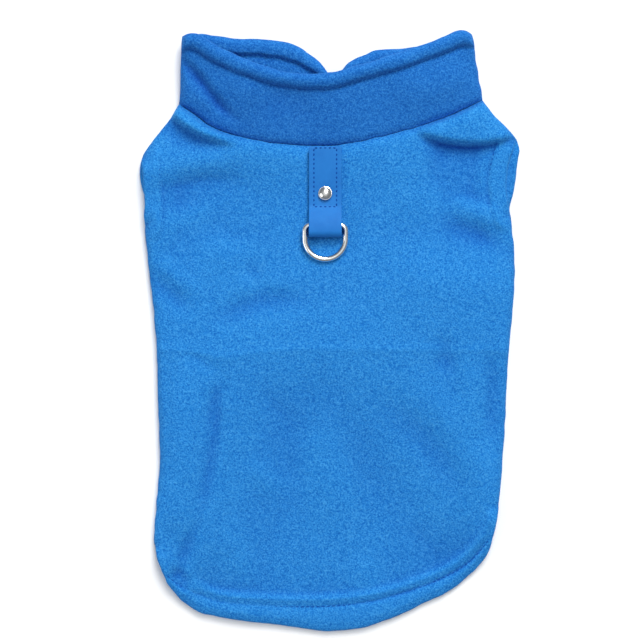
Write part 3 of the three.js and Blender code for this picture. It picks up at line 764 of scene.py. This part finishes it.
def belly_panel():
    """The short lower panel, flat on the floor."""
    x, y = patch(belly_edges, spread(*BELLY_ACROSS), spread(*BELLY_UP))
    low_z, high_z = belly_heights(x, y)
    high = np.stack([x, y, high_z + nap(x, y, 21) * BELLY_NAP], -1)
    low = np.stack([x, y, low_z], -1)
    roll_to_seam(low, high, belly_seams, -1)
    hem = nearest_of([belly_edges["bottom"], *belly_armholes, belly_edges["top"]], x, y)[0]
    low, high = close_edge(low, high, quarter_round(hem, BODY_HEM / 2))
    join_rims(high, low)
    # The underside carries the weights of the painted shade in its hollows
    return closed_shell("coat_belly_panel", high, low, np.full(x.shape, 0.5), sunken(-low_z))


def collar_wall(near, share, rise):
    """Outer and inner face of one wall of the collar: near is the wall that shows, far lies under it."""
    share, rise = share[None, :], rise[:, None]
    from_base = rise * COLLAR_HEIGHT
    from_edge = COLLAR_HEIGHT - from_base
    base = along(rounded(BACK_NECK if near else BELLY_NECK), share[0])
    edge = along(rounded(COLLAR_NEAR if near else COLLAR_FAR), share[0])
    places = wavering((base + (edge - base) * rise[..., None]).reshape(-1, 2)).reshape(len(rise), -1, 2)
    x, y = places[..., 0], places[..., 1] + SEAM_GAP * (1 - rise)
    climb = 1 - (1 - rise) ** COLLAR_RISE_CURVE
    lift = COLLAR_SEAM_HEIGHT + (COLLAR_TOP_HEIGHT - COLLAR_SEAM_HEIGHT) * climb
    thickness = CLOTH + (COLLAR_HEM - CLOTH) * within_band(from_edge, COLLAR_BAND) + 0 * x
    from_fold = np.minimum(share, 1 - share) * COLLAR_FLAT_WIDTH
    turn = quarter_round(from_fold, COLLAR_FOLD)
    groove = stitch_groove(from_edge - COLLAR_BAND, x, y, 41 if near else 42)
    sewn = hem_roll(from_edge, COLLAR_BAND) * COLLAR_PUFF
    sewn = sewn + groove * (NEAR_STITCH_PULL if near else FAR_STITCH_PULL)
    if near:
        clear = ease(0, COLLAR_FOLDS_FROM, from_base) * ease(0, COLLAR_FOLDS_FROM, from_edge)
        folds = fold_height(COLLAR_FOLDS, x, y) * clear
        valley = -COLLAR_BASE_GROOVE * np.exp(-((from_base / COLLAR_BASE_REACH) ** 2))
        outer_z = lift + thickness + folds + sewn + valley + nap(x, y, 51)
        inner_z = lift + folds * INNER_FOLD_SHARE
    else:
        outer_z = 0 * x
        inner_z = thickness + sewn * FAR_PUFF_SHARE + nap(x, y, 52) * FAR_COLLAR_NAP
    middle = (lift + CLOTH) / 2
    inwards = np.where(share < 0.5, 1, -1) * CLOTH * np.clip(1 - from_fold / COLLAR_FOLD, 0, 1)
    outer = np.stack([x, y, middle + (outer_z - middle) * turn], -1)
    inner = np.stack([x + inwards, y, middle + (inner_z - middle) * turn], -1)
    closeness = np.minimum(quarter_round(from_edge, COLLAR_HEM), quarter_round(from_base, CLOTH / 2))
    outer, inner = close_edge(outer, inner, closeness + 0 * x)
    # Weights of the painted crease shade, less of it on the far wall's inside and towards the near wall's
    # right side
    less_painted_shade = LESS_PAINTED_SHADE * ease(*LESS_PAINTED_SHADE_GROWS, share) if near else LESS_PAINTED_SHADE
    return outer, inner, np.clip(sunken(outer_z if near else inner_z) - less_painted_shade, 0, 1)


def collar():
    """The tube of the collar, from one side fold across the near wall and back across the far wall."""
    share, rise = spread(*COLLAR_AROUND), spread(*COLLAR_UP)
    near_outer, near_inner, near_sunk = collar_wall(True, share, rise)
    far_outer, far_inner, far_sunk = collar_wall(False, share, rise)
    outer = np.concatenate([near_outer, far_outer[:, ::-1]], 1)
    inner = np.concatenate([near_inner, far_inner[:, ::-1]], 1)
    inner[0], inner[-1] = outer[0], outer[-1]
    # Painted crease shade weights on the near wall's outside and the far wall's inside; the rest is even
    even = np.full(near_sunk.shape, 0.5)
    outer_sunk = np.concatenate([near_sunk, even], 1)
    inner_sunk = np.concatenate([even, far_sunk[:, ::-1]], 1)
    return closed_shell("coat_collar", outer, inner, outer_sunk, inner_sunk)


coat_back = back_panel()
coat_belly = belly_panel()
coat_collar = collar()


# Stitches

def one_stitch(length, width):
    """A short grain of thread."""
    deselect()
    bpy.ops.mesh.primitive_uv_sphere_add(segments=8, ring_count=6, radius=0.5 * MILLIMETRE)
    stitch = bpy.context.active_object
    stitch.data.transform(Matrix.Diagonal((length, width, width * STITCH_FLATNESS, 1)))
    return stitch


def sew(name, places, length=STITCH_LENGTH, width=STITCH_WIDTH):
    """One thread of many stitches: each place is where a stitch starts and ends."""
    pattern = one_stitch(length, width)
    stitches = []
    for start, end in places:
        run = (Vector(end) - Vector(start)).normalized()
        side = Vector((0, 0, 1)).cross(run).normalized()
        turn = Matrix((run, side, run.cross(side))).transposed().to_4x4()
        stitch = bpy.data.objects.new(name, pattern.data.copy())
        middle = (Vector(start) + Vector(end)) / 2
        stitch.data.transform(Matrix.Translation(middle * MILLIMETRE) @ turn)
        bpy.context.scene.collection.objects.link(stitch)
        stitches.append(stitch)
    bpy.data.objects.remove(pattern)
    deselect()
    for stitch in stitches:
        stitch.select_set(True)
    bpy.context.view_layer.objects.active = stitches[0]
    bpy.ops.object.join()
    thread = bpy.context.active_object
    thread.name = name
    bpy.ops.object.shade_smooth()
    return thread


def stitch_ends(line, heights, edges):
    """Where the stitches of a sewn line start and end, on a face whose heights are given."""
    total = run_length(line)[-1]
    starts = (np.arange(int(total / PITCH)) + FIRST_STITCH) * PITCH
    ends = starts + STITCH_LENGTH
    x, y = np.stack([along(line, starts / total), along(line, ends / total)]).transpose(2, 1, 0)
    left, right = (np.interp(y, edges[side][:, 1], edges[side][:, 0]) for side in ("left", "right"))
    kept = ((x > left + SIDE_CLEARANCE) & (x < right - SIDE_CLEARANCE)).all(1)
    return list(np.stack([x, y, heights(x, y)], -1)[kept])


def beside(line, distance):
    """A line that runs at a distance to the left of another."""
    one_in = 6
    step = np.gradient(line, axis=0)
    step /= np.linalg.norm(step, axis=1)[:, None]
    return rounded((line + np.stack([-step[:, 1], step[:, 0]], -1) * distance)[::one_in])


def on_back(x, y):
    """Height of a thread pulled into the back panel's upper face."""
    return back_heights(x, y)[1] - STITCH_SINK


def under_belly(x, y):
    """Height of a thread pulled into the belly panel's lower face, clear of the floor."""
    return belly_heights(x, y)[0] + UNDER_STITCH_SINK


def sew_panel(name, hem, armholes, heights, edges):
    """The stitches of a panel's hem and of its armholes."""
    places = stitch_ends(hem, heights, edges)
    for line in armholes:
        inwards = -ARMHOLE_BAND if line[0][0] < 0 else ARMHOLE_BAND
        places += stitch_ends(beside(line, inwards), heights, edges)
    return sew(name, places)


def collar_places(near):
    """Where the stitches below the collar's top edge start and end on one wall."""
    sewn_at = np.array([1 - COLLAR_BAND / COLLAR_HEIGHT])
    for start in np.linspace(*COLLAR_STITCHES, int(COLLAR_FLAT_WIDTH / PITCH)):
        shares = np.array([start, start + STITCH_LENGTH / COLLAR_FLAT_WIDTH])
        outer, inner, _ = collar_wall(near, shares, sewn_at)
        ends = (outer if near else inner)[0]
        yield [(*end[:2], end[2] - STITCH_SINK) for end in ends]


hem_stitches = sew_panel(
    "hem_stitches", beside(hem_turn, -SEWN_BELOW_TURN), back_armholes, on_back, back_edges)
belly_stitches = sew_panel(
    "belly_stitches", beside(belly_edges["bottom"], ARCH_BAND), belly_armholes, under_belly, belly_edges)

collar_stitches = sew("collar_stitches", [*collar_places(True), *collar_places(False)])


# Leash strap

def cloth_under_strap(y):
    """Height of the back panel where the strap lies, free of small folds."""
    spot = np.array([[float(y)]])
    past_neck = NECK_RISE * (1 - ease(0, NECK_RISE_REACH, NECK_MIDDLE_Y - spot))
    return float((OVER_BELLY + past_neck)[0, 0]) + CLOTH


STRAP_SEAT = cloth_under_strap(RING_BAR_Y) + STRAP_GAP
LOOP_HOLE = RING_WIRE / 2 + RING_CLEARANCE
RING_BAR_Z = STRAP_SEAT + LEATHER + LOOP_HOLE


def strap_top(y):
    """Height of the sewn strap's upper face."""
    return cloth_under_strap(y) + STRAP_GAP + 2 * LEATHER + PLY_GAP


def strap_path():
    """The strap's middle line, over the ring's bar, round it and back up, and how many places are sewn."""
    half = LEATHER / 2
    loop = LOOP_HOLE + half
    loop_y = STRAP_FOLD + LOOP_HOLE + LEATHER
    top = [(y, strap_top(y) - half) for y in np.linspace(STRAP_TOP, STRAP_SEWN_FROM + 1, 30)]
    crest = (loop_y, RING_BAR_Z + loop)
    bulge = []
    for share in np.linspace(0, 1, 13)[1:-1]:
        rise = math.sin(share * math.pi / 2)
        y = top[-1][0] + (crest[0] - top[-1][0]) * share
        bulge.append((y, top[-1][1] + (crest[1] - top[-1][1]) * rise))
    bend = [(loop_y + loop * math.cos(angle), RING_BAR_Z + loop * math.sin(angle))
            for angle in np.radians(np.linspace(90, 270, 17))]
    under_ply = np.linspace(*UNDER_PLY, 20)
    back = [(y, cloth_under_strap(y) + STRAP_GAP + half) for y in under_ply]
    return np.array([*top, *bulge, *bend, *back]), len(top)


def leash_strap():
    """The strap as one sheet along its path, dented at its stitches and rivet."""
    path, sewn = strap_path()
    across = STRAP_X + np.linspace(-0.5, 0.5, 23) * STRAP_WIDTH
    x, y = np.meshgrid(across, path[:, 0])
    z = np.repeat(path[:, 1:], len(across), 1)
    edge = STRAP_WIDTH / 2 - np.abs(x - STRAP_X)
    dents = -STITCH_DENT * np.exp(-(((edge - STITCH_INSET) / STITCH_DENT_REACH) ** 2))
    from_rivet = np.hypot(x - STRAP_X, y - RIVET_Y) / (RIVET_RADIUS + RIVET_DENT_BEYOND)
    dents -= RIVET_DENT * np.exp(-(from_rivet**6))
    unevenness_size, unevenness = 7, 0.06
    z[:sewn] += dents[:sewn] + mottle(x[:sewn], y[:sewn], unevenness_size, 61) * unevenness
    strap = skin("leash_strap", np.stack([x, y, z], -1)[::-1])
    thicken = strap.modifiers.new("thickness", "SOLIDIFY")
    thicken.thickness = LEATHER * MILLIMETRE
    thicken.offset = 0
    round_edges(strap, "rounded edges", 2, 50)
    return strap


def strap_stitches():
    """A box of stitches round the sewn part of the strap."""
    left, right = STRAP_X - STRAP_WIDTH / 2 + STITCH_INSET, STRAP_X + STRAP_WIDTH / 2 - STITCH_INSET
    low, high = STRAP_SEWN_FROM + 1, STRAP_TOP - 0.9
    pitch, half = STRAP_PITCH, STRAP_STITCH_SPAN / 2
    places = []
    for x in (left, right):
        for y in np.linspace(low + pitch / 2, high - pitch / 2, int((high - low) / pitch)):
            places.append([(x, end, strap_top(end) - SIDE_STITCH_SINK) for end in (y - half, y + half)])
    for y in (low, high):
        for x in np.linspace(left + pitch / 2, right - pitch / 2, int((right - left) / pitch)):
            places.append([(end, y, strap_top(y) - END_STITCH_SINK) for end in (x - half, x + half)])
    return sew("strap_stitches", places, *STRAP_STITCH)


def rivet():
    """A domed rivet cap with a rolled brim."""
    brim, dome_radius, dome_height = RIVET_BRIM, RIVET_DOME_RADIUS, RIVET_HEIGHT - RIVET_BRIM
    bow = (dome_radius**2 + dome_height**2) / (2 * dome_height)
    seat = strap_top(RIVET_Y + RIVET_RADIUS) + SEAM_GAP
    deselect()
    bpy.ops.mesh.primitive_cylinder_add(
        vertices=64, radius=RIVET_RADIUS * MILLIMETRE, depth=brim * MILLIMETRE)
    cap = bpy.context.active_object
    cap.name = "rivet_cap"
    bpy.ops.object.mode_set(mode="EDIT")
    bpy.ops.mesh.select_mode(type="FACE")
    bpy.ops.mesh.select_all(action="DESELECT")
    leave_edit()
    for face in cap.data.polygons:
        face.select = face.normal.z > 0.9
    bpy.ops.object.mode_set(mode="EDIT")
    bpy.ops.mesh.inset(thickness=(RIVET_RADIUS - dome_radius) * MILLIMETRE)
    radius, rise = dome_radius, 0
    for step in range(1, 10):
        next_radius = dome_radius * math.cos(step / 9.3 * math.pi / 2)
        next_rise = math.sqrt(bow**2 - next_radius**2) - (bow - dome_height)
        bpy.ops.mesh.inset(thickness=(radius - next_radius) * MILLIMETRE)
        bpy.ops.transform.translate(value=(0, 0, (next_rise - rise) * MILLIMETRE))
        radius, rise = next_radius, next_rise
    leave_edit()
    cap.data.transform(Matrix.Translation(Vector((STRAP_X, RIVET_Y, seat + brim / 2)) * MILLIMETRE))
    round_edges(cap, "rolled brim", 4, 60)
    return cap


def d_ring():
    """Round wire bent into a D: a spun bow, two sides, two corners and the bar."""
    half = (RING_WIDTH - RING_WIRE) / 2 * MILLIMETRE
    corner = RING_CORNER * MILLIMETRE
    bow_y = (RING_LOWEST_Y + RING_WIRE / 2 - RING_BAR_Y) * MILLIMETRE + half
    straight = -corner - bow_y
    deselect()
    bpy.ops.mesh.primitive_circle_add(vertices=28, radius=RING_WIRE / 2 * MILLIMETRE)
    ring = bpy.context.active_object
    ring.name = "leash_ring"
    ring.data.transform(Matrix.Translation((half, bow_y, 0)) @ Matrix.Rotation(math.pi / 2, 4, "X"))
    edit_all()

    def bend(degrees, centre, steps):
        bpy.ops.mesh.spin(steps=steps, angle=math.radians(degrees), center=centre, axis=(0, 0, 1))

    def run(step):
        bpy.ops.mesh.extrude_region_move(TRANSFORM_OT_translate={"value": step})

    bend(180, (0, bow_y, 0), 56)
    run((0, straight, 0))
    bend(90, (-half + corner, -corner, 0), 14)
    run((2 * (half - corner), 0, 0))
    bend(90, (half - corner, -corner, 0), 14)
    run((0, -straight, 0))
    bpy.ops.mesh.select_all(action="SELECT")
    bpy.ops.mesh.remove_doubles(threshold=1e-6)
    bpy.ops.mesh.normals_make_consistent(inside=False)
    leave_edit()
    reach = RING_BAR_Y - RING_LOWEST_Y - RING_WIRE / 2
    drop = RING_BAR_Z - (cloth_under_strap(RING_LOWEST_Y) + SEAM_GAP + RING_WIRE / 2)
    place = Matrix.Translation(Vector((STRAP_X, RING_BAR_Y, RING_BAR_Z)) * MILLIMETRE)
    ring.data.transform(place @ Matrix.Rotation(math.asin(drop / reach), 4, "X"))
    only(ring)
    bpy.ops.object.shade_smooth()
    return ring


strap = leash_strap()
stitches = strap_stitches()
cap = rivet()
ring = d_ring()


# Materials

def new_material(name):
    """A new material with its nodes, its links and its shader."""
    material = bpy.data.materials.new(name)
    material.use_nodes = True
    nodes = material.node_tree.nodes
    return material, nodes, material.node_tree.links, nodes["Principled BSDF"]


def linear(red, green, blue):
    """A colour given as screen values from 0 to 255."""
    def channel(value):
        value /= 255
        return value / 12.92 if value <= 0.04045 else ((value + 0.055) / 1.055) ** 2.4

    return (channel(red), channel(green), channel(blue), 1)


def noise(nodes, links, scale, detail, roughness=0.55):
    """Noise in the piece's own place, with features of 1/scale of a metre."""
    place = nodes.get("place") or nodes.new("ShaderNodeTexCoord")
    place.name = "place"
    texture = nodes.new("ShaderNodeTexNoise")
    texture.inputs["Scale"].default_value = scale
    texture.inputs["Detail"].default_value = detail
    texture.inputs["Roughness"].default_value = roughness
    links.new(place.outputs["Object"], texture.inputs["Vector"])
    return texture.outputs["Fac"]


def ramp(nodes, links, value, stops):
    """Blends between the colours of the stops, each given with its place from 0 to 1."""
    blend = nodes.new("ShaderNodeValToRGB")
    while len(blend.color_ramp.elements) < len(stops):
        blend.color_ramp.elements.new(0.5)
    for element, (place, colour) in zip(blend.color_ramp.elements, stops):
        element.position = place
        element.color = colour
    links.new(value, blend.inputs["Fac"])
    return blend.outputs["Color"]


def multiply(nodes, links, first, second):
    """One colour darkened by another."""
    mix = nodes.new("ShaderNodeMix")
    mix.data_type = "RGBA"
    mix.blend_type = "MULTIPLY"
    mix.inputs["Factor"].default_value = 1
    links.new(first, mix.inputs["A"])
    links.new(second, mix.inputs["B"])
    return mix.outputs["Result"]


def bump(nodes, links, height, strength, distance, before=None):
    """Fine relief over the shape, on top of a coarser relief if one is given."""
    relief = nodes.new("ShaderNodeBump")
    relief.inputs["Strength"].default_value = strength
    relief.inputs["Distance"].default_value = distance * MILLIMETRE
    links.new(height, relief.inputs["Height"])
    if before:
        links.new(before, relief.inputs["Normal"])
    return relief.outputs["Normal"]


def fleece(name, deep, mid, bright):
    """Polar fleece: a matte brushed pile of pale and deep flecks, with painted shade in its creases and
    hollows and a little painted light on its ridges.
    """
    material, nodes, links, shader = new_material(name)
    fleck = noise(nodes, links, 1050, 2, 0.8)
    tuft = noise(nodes, links, 480, 2, 0.6)
    clump = noise(nodes, links, 60, 2)
    crease_shade = nodes.new("ShaderNodeAttribute")
    crease_shade.attribute_name = "crease_shade"
    colour = ramp(nodes, links, fleck, ((0.34, deep), (0.5, mid), (0.66, bright)))
    tufts = ramp(nodes, links, tuft, ((0.34, (0.74, 0.84, 0.9, 1)), (0.64, (1, 1, 1, 1))))
    clumps = ramp(nodes, links, clump, ((0.3, (0.9, 0.94, 0.97, 1)), (0.7, (1, 1, 1, 1))))
    # Painted shade: the colour darkens in creases and hollows by the crease shade weight, and lightens a
    # little on ridges
    painted_crease_shade = ramp(nodes, links, crease_shade.outputs["Fac"],
                   ((0, (0.97, 0.98, 0.99, 1)), (0.5, (0.86, 0.88, 0.92, 1)), (1, (0.19, 0.28, 0.6, 1))))
    for shade in (tufts, clumps, painted_crease_shade):
        colour = multiply(nodes, links, colour, shade)
    links.new(colour, shader.inputs["Base Color"])
    sheen = {"Sheen Weight": 0.16, "Sheen Roughness": 0.5, "Sheen Tint": linear(120, 190, 255)}
    for socket, value in ({"Roughness": 0.95, "Specular IOR Level": 0.08} | sheen).items():
        shader.inputs[socket].default_value = value
    coarse = bump(nodes, links, tuft, 0.6, 0.5)
    links.new(bump(nodes, links, fleck, 0.7, 0.25, coarse), shader.inputs["Normal"])
    return material


def two_tone(name, scale, detail, first, second):
    """A material that drifts between two colours, each given with its place in the noise."""
    material, nodes, links, shader = new_material(name)
    tone = noise(nodes, links, scale, detail)
    links.new(ramp(nodes, links, tone, (first, second)), shader.inputs["Base Color"])
    return material, nodes, links, shader, tone


def strap_leather():
    """Smooth coated leather with a fine grain, a little deeper in colour than the cloth."""
    material, nodes, links, shader, _ = two_tone(
        "blue_coated_leather", 90, 3, (0.3, linear(28, 110, 190)), (0.7, linear(34, 120, 200)))
    grain = noise(nodes, links, 1500, 2)
    rough = ramp(nodes, links, grain, ((0.3, (0.5, 0.5, 0.5, 1)), (0.7, (0.66, 0.66, 0.66, 1))))
    links.new(rough, shader.inputs["Roughness"])
    shader.inputs["Specular IOR Level"].default_value = 0.16
    links.new(bump(nodes, links, grain, 0.25, 0.12), shader.inputs["Normal"])
    return material


def thread_material():
    """Matte sewing thread, deeper in colour than the cloth; its dark colour also paints the shade in the sunk
    stitch holes.
    """
    material, _, _, shader, _ = two_tone(
        "thread_dark_with_painted_hole_shade", 2400, 2, (0.35, linear(8, 66, 146)), (0.7, linear(16, 84, 172)))
    shader.inputs["Roughness"].default_value = 0.8
    shader.inputs["Specular IOR Level"].default_value = 0.1
    return material


def polished_steel(name):
    """Bright nickel-plated steel with faint polishing marks."""
    material, nodes, links, shader, marks = two_tone(
        name, 700, 4, (0.3, (0.84, 0.84, 0.82, 1)), (0.7, (0.93, 0.93, 0.92, 1)))
    rough = ramp(nodes, links, marks, ((0.3, (0.16, 0.16, 0.16, 1)), (0.75, (0.26, 0.26, 0.26, 1))))
    links.new(rough, shader.inputs["Roughness"])
    shader.inputs["Metallic"].default_value = 1
    links.new(bump(nodes, links, marks, 0.05, 0.01), shader.inputs["Normal"])
    return material


def dress(obj, material):
    obj.data.materials.clear()
    obj.data.materials.append(material)


royal_fleece = fleece("royal_blue_fleece", linear(22, 107, 190), linear(45, 140, 215), linear(75, 164, 229))
# A darker copy of the fleece for the collar: painted shade for the collar's tilt and nap catching less light
collar_fleece_painted_shade = fleece("collar_fleece_painted_shade", linear(19, 88, 170), linear(36, 115, 196), linear(62, 140, 212))
steel = polished_steel("polished_steel")
leather = strap_leather()
blue_thread = thread_material()


# Materials and bodies of the pieces, with the CAD parts hidden; each piece's slot is listed in the table but
# not used

for piece, node, slot, material in (
    (coat_back, "back_panel", "fleece", royal_fleece),
    (coat_belly, "belly_panel", "fleece", royal_fleece),
    (coat_collar, "collar", "fleece", collar_fleece_painted_shade),
    (strap, "leash_tab", "leather", leather),
    (cap, "rivet", "chrome", steel),
    (ring, "d_ring", "chrome", steel),
):
    dress(piece, material)
    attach(piece, "ring" if node == "d_ring" else "coat")
    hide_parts(node)
for thread in (stitches, hem_stitches, belly_stitches, collar_stitches):
    dress(thread, blue_thread)
    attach(thread, "coat")


# Floor, light and camera

def floor():
    """A plain pale floor just under the coat."""
    deselect()
    bpy.ops.mesh.primitive_plane_add(size=12, location=(0, 0, -0.0004))
    ground = bpy.context.active_object
    ground.name = "floor"
    material, _, _, shader = new_material("pale_floor")
    shader.inputs["Base Color"].default_value = (0.97, 0.97, 0.97, 1)
    shader.inputs["Roughness"].default_value = 0.9
    dress(ground, material)
    ground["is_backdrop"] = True


def softbox(name, place, size, power):
    """A wide lamp that faces the coat."""
    light = bpy.data.lights.new(name, "AREA")
    light.shape = "RECTANGLE"
    light.size, light.size_y = size
    light.energy = power
    lamp = bpy.data.objects.new(name, light)
    lamp.location = place
    lamp.rotation_euler = (Vector((0, 0, 0)) - Vector(place)).to_track_quat("-Z", "Y").to_euler()
    bpy.context.scene.collection.objects.link(lamp)


floor()
softbox("window", (1.0, 3.3, 3.05), (2.2, 1.9), 172)
softbox("ceiling", (0.35, 0.6, 1.7), (0.8, 0.8), 9)
softbox("reflector", (-1.3, -0.5, 0.8), (1, 0.8), 5)

world = bpy.data.worlds.new("studio")
world.use_nodes = True
sky = world.node_tree.nodes
way = sky.new("ShaderNodeTexCoord")
height = sky.new("ShaderNodeSeparateXYZ")
world.node_tree.links.new(way.outputs["Generated"], height.inputs["Vector"])
dome = ramp(sky, world.node_tree.links, height.outputs["Z"], (
    (0, (0.5, 0.52, 0.54, 1)), (0.2, (0.16, 0.17, 0.18, 1)), (0.7, (0.22, 0.23, 0.24, 1)),
    (0.9, (0.5, 0.52, 0.53, 1)), (1, (0.85, 0.86, 0.87, 1)),
))
world.node_tree.links.new(dome, sky["Background"].inputs["Color"])
scene = bpy.context.scene
scene.world = world
scene.view_settings.view_transform = "Standard"

CAMERA_DISTANCE = 0.9
CAMERA_RISE = 0.006
FRAME_WIDTH = 0.368
SENSOR = 36
view = bpy.data.cameras.new("camera")
view.sensor_width = SENSOR
view.lens = SENSOR * CAMERA_DISTANCE / FRAME_WIDTH
camera = bpy.data.objects.new("camera", view)
camera.location = (-0.0056, 0.0071, CAMERA_DISTANCE + CAMERA_RISE)
scene.collection.objects.link(camera)
bpy.context.scene.camera = camera

({"cad": [list(map(float, corner)) for corner in cad_box],
           "visual": [list(map(float, corner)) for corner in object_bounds()]})
